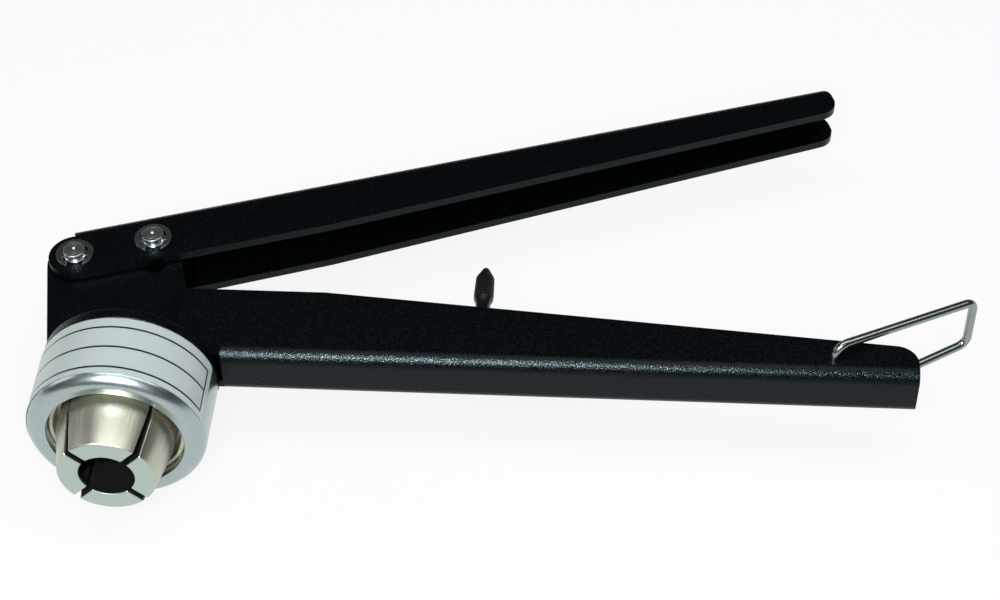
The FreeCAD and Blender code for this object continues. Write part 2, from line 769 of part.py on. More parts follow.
def make_jaw(number):
    """One of the jaws: a quarter of a hollow cone with a lip at its end.

    Its outside has the fulcrum groove and the ring's groove; its inside has
    the cap's chamber and, above it, the seat that the cone presses on.
    """
    name = "jaw_%d" % number
    groove_low = "(fulcrum_level - fulcrum_groove_half)"
    groove_high = "(fulcrum_level + fulcrum_groove_half)"
    neck = "(jaw_body_radius - fulcrum_groove_depth)"
    ring_low = "(ring_level - ring_wire - ring_gap)"
    ring_high = "(ring_level + ring_wire + ring_gap)"
    body = new_body(name)
    sketch = new_sketch(body, name + "_section", "XY")
    outline(sketch, [
        ("(mouth_radius + 0.3)", "0"),
        ("(jaw_tip_radius - 0.3)", "0"),
        ("jaw_tip_radius", "0.3"),
        ("jaw_body_radius", "jaw_cone_length"),
        ("jaw_body_radius", groove_low),
        (neck, groove_low),
        (neck, groove_high),
        ("jaw_body_radius", groove_high),
        ("jaw_body_radius", ring_low),
        (ring_groove, ring_low),
        (ring_groove, ring_high),
        ("(jaw_body_radius - fulcrum_groove_depth / 2)", ring_high),
        (neck, "jaw_top"),
        ("(cone_seat_radius + 0.5)", "jaw_top"),
        ("cone_seat_radius", "(jaw_top - 0.5)"),
        ("cone_seat_radius", "(chamber_top + 1)"),
        ("(mouth_radius + chamber_step)", "chamber_top"),
        ("(mouth_radius + chamber_step)", "(mouth_lip + 0.6)"),
        ("mouth_radius", "mouth_lip"),
        ("mouth_radius", "0.3"),
    ])
    feature = body.newObject("PartDesign::Revolution", name + "_turning")
    feature.Profile = sketch
    feature.ReferenceAxis = (sketch, ["V_Axis"])
    bind(feature, "Angle", "360 / jaw_count")
    feature.Midplane = True
    sketch.Visibility = False
    for side in (-1, 1):
        slit = new_sketch(body, "%s_slit_%s" % (name, "far" if side < 0 else "near"), "XY")
        quarter = FreeCAD.Rotation(Y_AXIS, side * 180 / size("jaw_count") + 90)
        slit.AttachmentOffset = FreeCAD.Placement(ORIGIN, quarter)
        bind(slit, "AttachmentOffset.Rotation.Angle", "abs(%d * 180 / jaw_count + 90) * 1 deg" % side)
        outline(slit, [
            ("(-slit_bottom / 2)", "-1"),
            ("(slit_bottom / 2)", "-1"),
            ("(slit_top / 2)", "(jaw_top + 1)"),
            ("(-slit_top / 2)", "(jaw_top + 1)"),
        ])
        cut(body, name + "_slitting_%s" % ("far" if side < 0 else "near"), slit, "4 * jaw_body_radius",
            midplane=True)
    turn(body, Y_AXIS, "360 / jaw_count * %d" % (number - 1))
    return body


def make_plunger():
    """Flat tongue with the drive pin's slot, on a round stem that carries the cone."""
    body = new_body("plunger")
    stem = new_sketch(body, "stem_section", "XY")
    seat = "(cone_bottom - clip_gauge)"
    outline(stem, [
        ("0", "stem_bottom"),
        ("(stem_radius - 0.5)", "stem_bottom"),
        ("stem_radius", "(stem_bottom + 0.5)"),
        ("stem_radius", "(%s - running_gap)" % seat),
        ("stem_groove_radius", "(%s - running_gap)" % seat),
        ("stem_groove_radius", "(cone_bottom + running_gap)"),
        ("stem_radius", "(cone_bottom + running_gap)"),
        ("stem_radius", "cone_top"),
        ("0", "cone_top"),
    ])
    feature = body.newObject("PartDesign::Revolution", "stem_turning")
    feature.Profile = stem
    feature.ReferenceAxis = (stem, ["V_Axis"])
    feature.Angle = 360
    stem.Visibility = False

    top = "(%s + tongue_over_pin)" % drive_y
    tongue = new_sketch(body, "tongue_outline", "XY")
    outline(tongue, [
        ("(-tongue_half)", "cone_top"),
        ("tongue_half", "cone_top"),
        ("tongue_half", "(%s - tongue_corner)" % top, "tongue_corner"),
        ("(tongue_half - tongue_corner)", top),
        ("(tongue_corner - tongue_half)", top, "tongue_corner"),
        ("(-tongue_half)", "(%s - tongue_corner)" % top),
    ])
    pad(body, "tongue", tongue, tongue_thick, midplane=True)

    slot = new_sketch(body, "drive_slot_outline", "XY")
    reach = "(pin_radius + slot_gap)"
    left = "(-slot_gap)"
    right = "(%s + slot_gap)" % drive_closed_x
    outline(slot, [
        (left, "(%s - %s)" % (drive_y, reach)),
        (right, "(%s - %s)" % (drive_y, reach), reach),
        ("(%s + %s)" % (right, reach), drive_y, reach),
        (right, "(%s + %s)" % (drive_y, reach)),
        (left, "(%s + %s)" % (drive_y, reach), reach),
        ("(%s - %s)" % (left, reach), drive_y, reach),
    ])
    cut(body, "drive_slot", slot, "2 * ear_width", midplane=True)
    return body


def make_closing_cone():
    """Hardened cone on the stem, which spreads the jaws' upper ends."""
    return turned("closing_cone", [
        ("stem_radius", "cone_bottom"),
        ("(%s - 0.6)" % cone_bottom_radius, "cone_bottom"),
        ("(%s + 0.6 * cone_taper)" % cone_bottom_radius, "(cone_bottom + 0.6)"),
        (cone_top_radius, "cone_top"),
        ("stem_radius", "cone_top"),
    ])


def make_cone_clip():
    """Snap ring that holds the cone on the stem."""
    low = "(cone_bottom - clip_gauge)"
    body = turned("cone_clip", [
        ("stem_groove_radius", low),
        ("stem_clip_radius", low),
        ("stem_clip_radius", "cone_bottom"),
        ("stem_groove_radius", "cone_bottom"),
    ], angle="330")
    return body


def make_pusher_pad():
    """Black pad under the stem, which pushes the vial out of its cap."""
    return turned("pusher_pad", [
        ("0", "pad_face"),
        ("(mouth_radius - pad_gap - 0.6)", "pad_face"),
        ("(mouth_radius - pad_gap)", "(pad_face + 0.6)"),
        ("(mouth_radius - pad_gap)", "(pad_face + pad_flange)"),
        ("pad_neck", "(pad_face + pad_flange)"),
        ("pad_neck", "pad_top"),
        ("0", "pad_top"),
    ])


def make_stop_nut():
    """Hexagon nut that stands on the web inside the channel."""
    nut = doc.addObject("Part::Prism", "stop_nut_hexagon")
    nut.Polygon = 6
    bind(nut, "Circumradius", "nut_flats / 2 / cos(30)")
    bind(nut, "Height", "nut_height")
    hole = disc("stop_nut_hole", "thread_radius + thread_gap", "nut_height", "0")
    whole = joined("Part::Cut", "stop_nut", [nut, hole])
    whole.Placement = FreeCAD.Placement(ORIGIN, FreeCAD.Rotation(FreeCAD.Vector(1, 0, 0), -90))
    place(whole, "stop_place", web_top)
    return whole


def make_stop_screw():
    """Knurled screw with a pointed head, whose tip stops the lever."""
    waist_low = "(%s - 1.2 - stop_waist_length)" % stop_shoulder
    thread_end = "(%s + stop_floor_gap + stop_travel)" % web_top
    body = turned("stop_screw", [
        ("0", thread_end),
        ("(thread_radius - 0.4)", thread_end),
        ("thread_radius", "(%s + 0.4)" % thread_end),
        ("thread_radius", waist_low),
        ("stop_waist", waist_low),
        ("stop_waist", "(%s - 1.2)" % stop_shoulder),
        ("stop_radius", stop_shoulder),
        ("(stop_radius - 0.15)", "(stop_tip - stop_cone)"),
        ("stop_tip_radius", "(stop_tip - 0.6)", "0.65"),
        ("0.25", "stop_tip"),
        ("0", "stop_tip"),
    ])
    place(body, "stop_place")
    return body


def make_bail():
    """Bent wire loop, hinged in the cheeks, which hooks over the closed lever.

    Its path is drawn with the hinge at the origin: in through a cheek, round an
    elbow, along a leg, across, and back the same way.
    """
    body = new_body("bail")
    lean = "atan2(bail_spread - bail_crossbar; bail_reach)"
    elbow_cut = "(bail_elbow * tan((90 deg + %s) / 2))" % lean
    corner_cut = "(bail_corner * tan((90 deg - %s) / 2))" % lean
    leg_x = "(%s * cos(%s))" % (elbow_cut, lean)
    leg_z = "(bail_spread - %s * sin(%s))" % (elbow_cut, lean)
    end_x = "(bail_reach - %s * cos(%s))" % (corner_cut, lean)
    end_z = "(bail_crossbar + %s * sin(%s))" % (corner_cut, lean)
    bar_z = "(bail_crossbar - %s)" % corner_cut
    path = new_sketch(body, "bail_path", "XZ")
    outline(path, [
        ("0", "bail_tail"),
        ("0", "(bail_spread - %s)" % elbow_cut, "-bail_elbow"),
        (leg_x, leg_z),
        (end_x, end_z, "-bail_corner"),
        ("bail_reach", bar_z),
        ("bail_reach", "-" + bar_z, "-bail_corner"),
        (end_x, "-" + end_z),
        (leg_x, "-" + leg_z, "-bail_elbow"),
        ("0", "(%s - bail_spread)" % elbow_cut),
        ("0", "-bail_tail"),
    ], closed=False)
    section = new_sketch(body, "bail_wire_section", "XY", "bail_tail")
    circle(section, "0", "0", "bail_wire / 2")
    doc.recompute()
    pipe = body.newObject("PartDesign::AdditivePipe", "bail_bending")
    pipe.Profile = section
    pipe.Spine = path
    path.Visibility = False
    section.Visibility = False
    place(body, "bail_place", "bail_level")
    turn(body, Z_AXIS, "bail_angle")
    return body


pieces = [
    make_fixed_handle(),
    make_head_collar(),
    make_plunger_guide(),
    make_sleeve(),
    make_label(),
    make_bush(),
    make_fulcrum_ring(),
    make_return_ring(),
    make_pin("pivot_pin", pivot_x, "pivot_level"),
    make_clips("pivot_pin_clips", pivot_x, "pivot_level"),
    make_washers(),
    make_torsion_spring(),
    make_stop_nut(),
    make_lever(),
    make_pin("drive_pin", "0", drive_y),
    make_clips("drive_pin_clips", "0", drive_y),
    make_plunger(),
    make_closing_cone(),
    make_cone_clip(),
    make_pusher_pad(),
    make_stop_screw(),
    make_bail(),
]
for number in range(1, int(size("jaw_count")) + 1):
    pieces.append(make_jaw(number))

doc.recompute()
faults = [thing.Label for thing in doc.Objects if "Invalid" in thing.State or "Error" in thing.State]
faults += [piece.Label for piece in pieces if piece.Shape.isNull() or not piece.Shape.isValid()]
if faults:
    raise SystemExit("these did not build: " + ", ".join(faults))

os.makedirs("parts", exist_ok=True)
for piece in pieces:
    piece.Shape.exportStep(os.path.join("parts", piece.Label + ".step"))
    print(piece.Label, len(piece.Shape.Solids), "solids, volume", round(piece.Shape.Volume, 1))
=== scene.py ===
import math

import bmesh
import bpy
import numpy as np
from mathutils import Matrix, Vector


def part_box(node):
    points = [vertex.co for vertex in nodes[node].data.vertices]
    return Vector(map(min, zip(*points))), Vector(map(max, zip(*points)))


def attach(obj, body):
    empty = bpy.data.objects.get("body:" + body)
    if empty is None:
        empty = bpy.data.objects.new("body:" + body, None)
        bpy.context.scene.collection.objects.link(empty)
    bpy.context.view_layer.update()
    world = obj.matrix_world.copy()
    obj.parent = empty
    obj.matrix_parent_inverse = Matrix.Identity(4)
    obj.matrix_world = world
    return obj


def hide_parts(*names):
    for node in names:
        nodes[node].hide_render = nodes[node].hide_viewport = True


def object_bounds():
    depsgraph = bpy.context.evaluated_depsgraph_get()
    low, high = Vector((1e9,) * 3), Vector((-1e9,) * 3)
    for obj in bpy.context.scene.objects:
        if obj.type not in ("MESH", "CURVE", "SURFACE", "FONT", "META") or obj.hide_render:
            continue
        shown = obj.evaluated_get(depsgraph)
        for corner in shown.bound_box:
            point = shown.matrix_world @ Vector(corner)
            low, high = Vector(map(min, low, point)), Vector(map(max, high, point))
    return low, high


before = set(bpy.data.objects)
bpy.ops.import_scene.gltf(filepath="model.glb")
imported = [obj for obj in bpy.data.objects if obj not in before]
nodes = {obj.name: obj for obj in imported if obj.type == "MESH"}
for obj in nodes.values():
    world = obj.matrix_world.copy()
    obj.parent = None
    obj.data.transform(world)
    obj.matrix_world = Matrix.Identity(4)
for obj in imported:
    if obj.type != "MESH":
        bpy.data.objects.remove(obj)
cad_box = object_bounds()
MM = 0.001
bpy.context.scene.view_settings.view_transform = "Standard"


# The camera stands where the photograph was taken: in front of the head, above
# the tool, which lies on its side with its middle plane level. Its place,
# direction and focal length come from a fit to the tool's own edges.
CAMERA_PLACE = (109.0, -285.3, 359.4)
CAMERA_AZIMUTH = math.radians(4.77)
CAMERA_DOWN = math.radians(46.44)
CAMERA_ROLL = math.radians(-1.70)
FOCAL_PIXELS = 2173.9
IMAGE_WIDTH = 1000
SENSOR_WIDTH = 36.0


def add(name, data):
    """A new object in the scene, for a camera, a lamp or a mesh."""
    thing = bpy.data.objects.new(name, data)
    bpy.context.scene.collection.objects.link(thing)
    return thing


look = Vector((-math.sin(CAMERA_AZIMUTH) * math.cos(CAMERA_DOWN),
               math.cos(CAMERA_AZIMUTH) * math.cos(CAMERA_DOWN),
               -math.sin(CAMERA_DOWN)))
level_right = Vector((math.cos(CAMERA_AZIMUTH), math.sin(CAMERA_AZIMUTH), 0))
level_up = level_right.cross(look)
right = level_right * math.cos(CAMERA_ROLL) + level_up * math.sin(CAMERA_ROLL)
up = level_up * math.cos(CAMERA_ROLL) - level_right * math.sin(CAMERA_ROLL)
facing = Matrix((right, up, -look)).transposed().to_4x4()
camera_data = bpy.data.cameras.new("photo_camera")
camera_data.sensor_fit = "HORIZONTAL"
camera_data.sensor_width = SENSOR_WIDTH
camera_data.lens = FOCAL_PIXELS / IMAGE_WIDTH * SENSOR_WIDTH
camera = add("photo_camera", camera_data)
camera.matrix_world = Matrix.Translation(Vector(CAMERA_PLACE) * MM) @ facing
bpy.context.scene.camera = camera


# The table is a plain white sheet just under the tool. It shows white to the
# camera and in metal, and keeps a faint shadow.
FLOOR_SPAN = 4000.0
FLOOR_GAP = 0.1
FLOOR_WHITE = (0.9, 0.9, 0.9)
FLOOR_ROUGHNESS = 0.9
SHADOW_SHARE = 0.12


class Signal:
    """A number that runs through a finish's nodes. Arithmetic on it adds Math nodes."""

    def __init__(self, finish, socket):
        self.finish = finish
        self.socket = socket

    def math(self, operation, *values):
        """One Math node over the given values, in their order."""
        node = self.finish.node("ShaderNodeMath", {"operation": operation}, dict(enumerate(values)))
        return Signal(self.finish, node.outputs[0])

    def __add__(self, other):
        return self.math("ADD", self, other)

    __radd__ = __add__

    def __sub__(self, other):
        return self.math("SUBTRACT", self, other)

    def __rsub__(self, other):
        return self.math("SUBTRACT", other, self)

    def __mul__(self, other):
        return self.math("MULTIPLY", self, other)

    __rmul__ = __mul__

    def __pow__(self, other):
        return self.math("POWER", self, other)

    def __lt__(self, other):
        return self.math("LESS_THAN", self, other)

    def __gt__(self, other):
        return self.math("GREATER_THAN", self, other)

    def __abs__(self):
        return self.math("ABSOLUTE", self)

    def at_most(self, limit):
        """The smaller of the number and the limit."""
        return self.math("MINIMUM", self, limit)

    def span(self, low, high):
        """Runs from low to high while the number goes from 0 to 1."""
        return self * (high - low) + low

    def between(self, low, high):
        """Rises from 0 to 1 while the number goes from low to high."""
        node = self.finish.node("ShaderNodeMapRange", {"interpolation_type": "SMOOTHSTEP"},
                                {"Value": self, "From Min": low, "From Max": high})
        return Signal(self.finish, node.outputs[0])


class Finish:
    """A material: one Principled shader and the nodes that vary it over the surface."""

    def __init__(self, name, color, roughness=0.5, metallic=0.0, **constants):
        self.material = bpy.data.materials.new(name)
        self.material.use_nodes = True
        self.tree = self.material.node_tree
        self.tree.nodes.clear()
        self.shader = self.node("ShaderNodeBsdfPrincipled")
        surface = Signal(self, self.shader.outputs[0])
        self.ending = self.node("ShaderNodeOutputMaterial", None, {"Surface": surface})
        self.set("Base Color", (*color, 1.0))
        self.set("Roughness", roughness)
        self.set("Metallic", metallic)
        for socket, value in constants.items():
            self.set(socket.replace("_", " "), value)

    def node(self, kind, settings=None, values=None):
        """Adds a node, with its settings first and then its sockets' values or links."""
        node = self.tree.nodes.new(kind)
        for key, value in (settings or {}).items():
            setattr(node, key, value)
        for key, value in (values or {}).items():
            if isinstance(value, Signal):
                self.tree.links.new(value.socket, node.inputs[key])
            else:
                node.inputs[key].default_value = value
        return node

    def set(self, socket, value):
        """Sets or links one socket of the shader."""
        if isinstance(value, Signal):
            self.tree.links.new(value.socket, self.shader.inputs[socket])
        else:
            self.shader.inputs[socket].default_value = value

    def place(self):
        """The surface's own X, Y and Z, in millimetres."""
        where = self.node("ShaderNodeTexCoord")
        apart = self.node("ShaderNodeSeparateXYZ", None, {0: Signal(self, where.outputs["Object"])})
        return [Signal(self, apart.outputs[i]) * (1 / MM) for i in range(3)]

    def vector(self, x, y, z):
        """A vector from three numbers."""
        return Signal(self, self.node("ShaderNodeCombineXYZ", None, {0: x, 1: y, 2: z}).outputs[0])

    def noise(self, vector, size, detail=2.0, rough=0.5):
        """Noise from 0 to 1 over a vector, with features of about the given size."""
        node = self.node("ShaderNodeTexNoise", None,
                         {"Vector": vector, "Scale": 1 / size, "Detail": detail, "Roughness": rough})
        return Signal(self, node.outputs["Fac"])

    def blend(self, factor, first, second):
        """A colour that goes from first to second with factor.

        In the Mix node, inputs 6 and 7 and output 2 are the ones for colours.
        """
        node = self.node("ShaderNodeMix", {"data_type": "RGBA"}, {"Factor": factor})
        for socket, color in ((6, first), (7, second)):
            if isinstance(color, Signal):
                self.tree.links.new(color.socket, node.inputs[socket])
            else:
                node.inputs[socket].default_value = (*color, 1.0)
        return Signal(self, node.outputs[2])

    def bump(self, height, strength, distance):
        """Raises the surface by height, with distance in millimetres."""
        node = self.node("ShaderNodeBump", None,
                         {"Strength": strength, "Distance": distance * MM, "Height": height})
        self.set("Normal", Signal(self, node.outputs[0]))


floor_mesh = bpy.data.meshes.new("table")
half = FLOOR_SPAN / 2 * MM
floor_level = cad_box[0][2] - FLOOR_GAP * MM
floor_mesh.from_pydata([(-half, -half, floor_level), (half, -half, floor_level),
                        (half, half, floor_level), (-half, half, floor_level)], [], [(0, 1, 2, 3)])
floor = add("table", floor_mesh)
table = Finish("table_white", FLOOR_WHITE, FLOOR_ROUGHNESS)
path = table.node("ShaderNodeLightPath")
seen = Signal(table, path.outputs["Is Camera Ray"]) + Signal(table, path.outputs["Is Glossy Ray"])
seen = (seen + Signal(table, path.outputs["Is Transmission Ray"])) * (1 - SHADOW_SHARE)
glow = table.node("ShaderNodeEmission", None, {"Color": (1, 1, 1, 1), "Strength": 1.0})
mixer = table.node("ShaderNodeMixShader", None, {
    0: seen, 1: Signal(table, table.shader.outputs[0]), 2: Signal(table, glow.outputs[0])})
table.tree.links.new(mixer.outputs[0], table.ending.inputs["Surface"])
floor_mesh.materials.append(table.material)


# A dim room, a wide soft box overhead, a smaller one at the left, a front fill
# that makes no reflections and a small lamp by the camera that makes only glints.
ROOM = 0.06
LAMPS = {
    # name: (place in mm, aimed at, size in mm, watts)
    "top_box": ((190, 90, 540), (190, 60, 0), (820, 230), 1.6),
    "left_box": ((-480, 60, 260), (0, 20, 0), (200, 300), 0.3),
    "camera_lamp": ((-10, -290, 370), (50, 20, 0), (34, 34), 7.5),
    "front_fill": ((120, -380, 480), (80, 10, 0), (300, 300), 2.5),
}

world = bpy.data.worlds.new("studio")
world.use_nodes = True
bpy.context.scene.world = world
backdrop = world.node_tree.nodes["Background"]
backdrop.inputs["Color"].default_value = (1, 1, 1, 1)
backdrop.inputs["Strength"].default_value = ROOM
for name, (spot, aim, spread, power) in LAMPS.items():
    lamp_data = bpy.data.lights.new(name, "AREA")
    lamp_data.shape = "RECTANGLE"
    lamp_data.size = spread[0] * MM
    lamp_data.size_y = spread[1] * MM
    lamp_data.energy = power
    lamp = add(name, lamp_data)
    direction = (Vector(aim) - Vector(spot)).normalized()
    turned = direction.to_track_quat("-Z", "Y").to_matrix().to_4x4()
    lamp.matrix_world = Matrix.Translation(Vector(spot) * MM) @ turned
    lamp.visible_diffuse = name != "camera_lamp"
    lamp.visible_glossy = name != "front_fill"


# The two handles are folded from sheet steel, and the plunger slides between
# the fixed one's ears. All three have the same black powder coat, whose fine
# grain sparkles where a bend catches the light.
COAT_BLACK = (0.0008, 0.0012, 0.0018)
COAT_SPARKLE = 2.2
COAT_SPECULAR = 0.17
COAT_TINT = (0.66, 0.92, 1.0, 1.0)
COAT_ROUGHNESS = (0.15, 0.21)
COAT_GRAIN = 0.32
COAT_GRAIN_ROUGHNESS = 0.22
COAT_GRAIN_MIDDLE = (0.42, 0.6)
COAT_GRAIN_TOPS = (0.55, 0.8)
COAT_PEEL = 1.4
COAT_PEEL_HEIGHT = 0.2
COAT_RELIEF = 0.1
COAT_EDGE = 0.3
MERGE_REACH = 0.001
FLAT_TURN = math.radians(1.0)
EDGE_TURN = math.radians(30.0)


def shade(color, share):
    """A colour with each of its parts multiplied by a share."""
    return tuple(part * share for part in color)


def keep_flat(piece):
    """Smooth shading in which the large faces stay flat and the rounds carry the bend."""
    piece.data.shade_smooth()
    shading = piece.modifiers.new("flat_faces", "WEIGHTED_NORMAL")
    shading.mode = "FACE_AREA"
    shading.weight = 100


def softened(name, width):
    """A copy of a folded, stamped or turned node with its sharp edges rounded off.

    The copy's loose triangles are merged, flat ones are joined, and every edge
    that turns by more than 30 degrees gets a small round of the given width.
    """
    mesh = nodes[name].data.copy()
    mesh.name = name + "_finished"
    work = bmesh.new()
    work.from_mesh(mesh)
    bmesh.ops.remove_doubles(work, verts=work.verts, dist=MERGE_REACH * MM)
    bmesh.ops.dissolve_limit(work, angle_limit=FLAT_TURN, verts=work.verts, edges=work.edges)
    work.to_mesh(mesh)
    work.free()
    mesh.materials.clear()
    piece = add(name + "_finished", mesh)
    rounding = piece.modifiers.new("rounding", "BEVEL")
    rounding.width = width * MM
    rounding.segments = 2
    rounding.limit_method = "ANGLE"
    rounding.angle_limit = EDGE_TURN
    keep_flat(piece)
    return piece


def stands_for(piece, finish, body, slot, *replaced):
    """Finishes a new piece, puts it on its body and lets it stand for its nodes."""
    piece.data.materials.clear()
    piece.data.materials.append(finish.material)
    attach(piece, body)
    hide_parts(*replaced)


powder = Finish("powder_coat", COAT_BLACK, Specular_IOR_Level=COAT_SPECULAR, Specular_Tint=COAT_TINT)
where = powder.vector(*powder.place())
grain = powder.noise(where, COAT_GRAIN, rough=0.55)
orange_peel = powder.noise(where, COAT_PEEL)
matt = grain.between(*COAT_GRAIN_MIDDLE) * COAT_GRAIN_ROUGHNESS
powder.set("Roughness", orange_peel.span(*COAT_ROUGHNESS) + matt)
sparkle = grain.between(*COAT_GRAIN_TOPS)
powder.set("Base Color", powder.blend(sparkle, COAT_BLACK, shade(COAT_BLACK, COAT_SPARKLE)))
powder.bump(grain + orange_peel * COAT_PEEL_HEIGHT, strength=1.0, distance=COAT_RELIEF)

for name, body in (("fixed_handle", "frame"), ("lever", "lever"), ("plunger", "plunger")):
    stands_for(softened(name, COAT_EDGE), powder, body, "powder_coat", name)


# The head collar is a turned steel flange between the ears and the sleeve, with
# the handles' black coat. The plunger's guide is pressed into its bore.
COLLAR_EDGE = 0.35
SEAM_REACH = 0.0001
MOST_CUT = 0.49


def in_mm(box):
    """A box's two corners, in millimetres."""
    return [np.array(corner) / MM for corner in box]


def points(*parts):
    """Points from their coordinates, each one number or an array of them."""
    return np.stack(np.broadcast_arrays(*parts), -1)


def skin(name, grid, wrap_rows=False, wrap_columns=False):
    """A mesh over a grid of points, rows by columns by three, in millimetres.

    Neighbouring points are joined by four-sided faces; a wrapped direction
    also joins its last row or column to its first.
    """
    rows, columns = grid.shape[:2]
    index = np.arange(rows * columns).reshape(rows, columns)
    below = index if wrap_rows else index[:-1]
    above = np.roll(index, -1, 0) if wrap_rows else index[1:]
    if wrap_columns:
        faces = np.stack([below, np.roll(below, -1, 1), np.roll(above, -1, 1), above], -1)
    else:
        faces = np.stack([below[:, :-1], below[:, 1:], above[:, 1:], above[:, :-1]], -1)
    mesh = bpy.data.meshes.new(name)
    mesh.from_pydata((grid.reshape(-1, 3) * MM).tolist(), [], faces.reshape(-1, 4).tolist())
    return add(name, mesh)


def closed_up(piece):
    """Merges the points at seams and poles, turns faces outwards and shades them."""
    work = bmesh.new()
    work.from_mesh(piece.data)
    bmesh.ops.remove_doubles(work, verts=work.verts, dist=SEAM_REACH * MM)
    bmesh.ops.recalc_face_normals(work, faces=work.faces)
    work.to_mesh(piece.data)
    work.free()
    keep_flat(piece)
    return piece


def rounded(corners, radius, steps=4, closed=True):
    """A profile whose corners are rounded.

    Each corner is cut back along both of its sides by the same length, at most
    about half a side, and a quadratic curve through the corner joins the cuts.
    """
    corner = np.array(corners, float)
    before = np.roll(corner, 1, 0) - corner
    after = np.roll(corner, -1, 0) - corner
    length_before = np.linalg.norm(before, axis=1)
    length_after = np.linalg.norm(after, axis=1)
    cut = np.minimum(radius, np.minimum(length_before, length_after) * MOST_CUT)
    if not closed:
        cut[[0, -1]] = 0
    start = corner + before / length_before[:, None] * cut[:, None]
    stop = corner + after / length_after[:, None] * cut[:, None]
    t = np.linspace(0, 1, steps + 1)[None, :, None]
    curve = (1 - t) ** 2 * start[:, None] + 2 * t * (1 - t) * corner[:, None] + t ** 2 * stop[:, None]
    if closed:
        return curve.reshape(-1, 2)
    return np.concatenate([corner[:1], curve[1:-1].reshape(-1, 2), corner[-1:]])


def ring_section(inner, outer, bottom, top, edge):
    """A plain ring's section: a rectangle between two radii and two heights, rounded."""
    return rounded([(inner, bottom), (outer, bottom), (outer, top), (inner, top)], edge)


def lathe(name, profile, steps, closed=True, axis="Y", centre=(0.0, 0.0)):
    """A profile of (radius, height) turned about an axis along Y or Z.

    At each angle, a point stands at its radius times the sine across the axis
    and times the cosine along the other way, at its own height. The axis
    passes through centre: its X and Z for Y, or its X and Y for Z.
    """
    angle = np.linspace(0, 2 * np.pi, steps, endpoint=False)
    radius, height = np.asarray(profile, float).T[:, :, None]
    across = centre[0] + radius * np.sin(angle)
    along = centre[1] + radius * np.cos(angle)
    grid = points(across, height, along) if axis == "Y" else points(across, along, height)
    return closed_up(skin(name, grid, wrap_rows=closed, wrap_columns=True))


low, high = in_mm(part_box("head_collar"))
guide_radius = in_mm(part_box("plunger_guide"))[1][0]
collar = ring_section(guide_radius, high[0], low[1], high[1], COLLAR_EDGE)
stands_for(lathe("collar_finished", collar, steps=256), powder, "frame", "powder_coat", "head_collar")


# The sleeve is turned steel and stands under the collar. Fine tool marks run
# round it, and its lower outer edge is polished round.
STEEL = (0.41, 0.49, 0.485)
STEEL_ROUGHNESS = 0.27
STEEL_MARKS = 0.09
SLEEVE_WALL = 4.65
SLEEVE_EDGE = 3.0
SLEEVE_BORE_EDGE = 0.4
SLEEVE_BORE_FLAT = 0.8
SLEEVE_TOP_EDGE = 0.3
SLEEVE_TOP_BAND = 1.2
SLEEVE_TOP_FLAT = 1.0
MARK_STRENGTH = 0.12
MARK_DEPTH = 0.01
CLOUD_SIZE = 4.0
CLOUD_SHADE = 0.93


def arc_profile(centre, radius, start, stop, steps):
    """Points of a profile on a circle, from one angle in degrees to another.

    Each is the centre plus the radius times the angle's cosine outwards and
    its sine upwards.
    """
    angle = np.radians(np.linspace(start, stop, steps))
    return points(centre[0] + radius * np.cos(angle), centre[1] + radius * np.sin(angle))


def tool_marks(finish, radius, height, spacing):
    """The marks that a tool leaves round an axis: noise over the radius and the height."""
    return finish.noise(finish.vector(radius, height, 0.0), spacing, detail=4.0, rough=0.7)


def turned_metal(name, color, roughness, marks, axis="Y", centre=(0.0, 0.0), relief=MARK_DEPTH):
    """Turned metal, with tool marks of a given spacing round an axis along Y or Z.

    Marks and a soft cloud take the roughness from 0.7 to 1.3 of the given one.
    """
    finish = Finish(name, color, metallic=1.0)
    x, y, z = finish.place()
    height, along = (y, z) if axis == "Y" else (z, y)
    across = x - centre[0]
    along = along - centre[1]
    radius = (across * across + along * along) ** 0.5
    lines = tool_marks(finish, radius, height, marks)
    cloud = finish.noise(finish.vector(x, y, z), CLOUD_SIZE)
    finish.set("Roughness", roughness * (0.7 + lines * 0.4 + cloud * 0.2))
    finish.set("Base Color", finish.blend(cloud, shade(color, CLOUD_SHADE), color))
    finish.bump(lines, MARK_STRENGTH, relief)
    return finish


steel = turned_metal("turned_steel", STEEL, STEEL_ROUGHNESS, STEEL_MARKS)
low, high = in_mm(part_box("sleeve"))
bore = high[0] - SLEEVE_WALL
bore_corner = [(bore, high[1]), (bore, low[1]), (bore + SLEEVE_BORE_FLAT, low[1])]
top_corner = [(high[0], high[1] - SLEEVE_TOP_BAND), (high[0], high[1]), (bore + SLEEVE_TOP_FLAT, high[1])]
sleeve_profile = np.concatenate([
    rounded(bore_corner, SLEEVE_BORE_EDGE, closed=False)[:-1],
    arc_profile((high[0] - SLEEVE_EDGE, low[1] + SLEEVE_EDGE), SLEEVE_EDGE, -90, 0, steps=16),
    rounded(top_corner, SLEEVE_TOP_EDGE, closed=False),
])
sleeve = lathe("sleeve_finished", sleeve_profile, steps=256)
stands_for(sleeve, steel, "frame", "turned_steel", "sleeve")


# The bush is a thin ring pressed into the sleeve, round the jaws. It is turned
# and nickel-plated, with a warm satin tone.
BUSH_NICKEL = (0.60, 0.57, 0.44)
BUSH_ROUGHNESS = 0.5
BUSH_MARKS = 0.3
BUSH_WALL = 1.02
BUSH_EDGE = 0.35

bush_metal = turned_metal("bush_nickel", BUSH_NICKEL, BUSH_ROUGHNESS, BUSH_MARKS)
low, high = in_mm(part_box("guide_bush"))
bush_profile = ring_section(high[0] - BUSH_WALL, high[0], low[1], high[1], BUSH_EDGE)
bush = lathe("bush_finished", bush_profile, steps=256)
stands_for(bush, bush_metal, "frame", "nickel", "guide_bush")


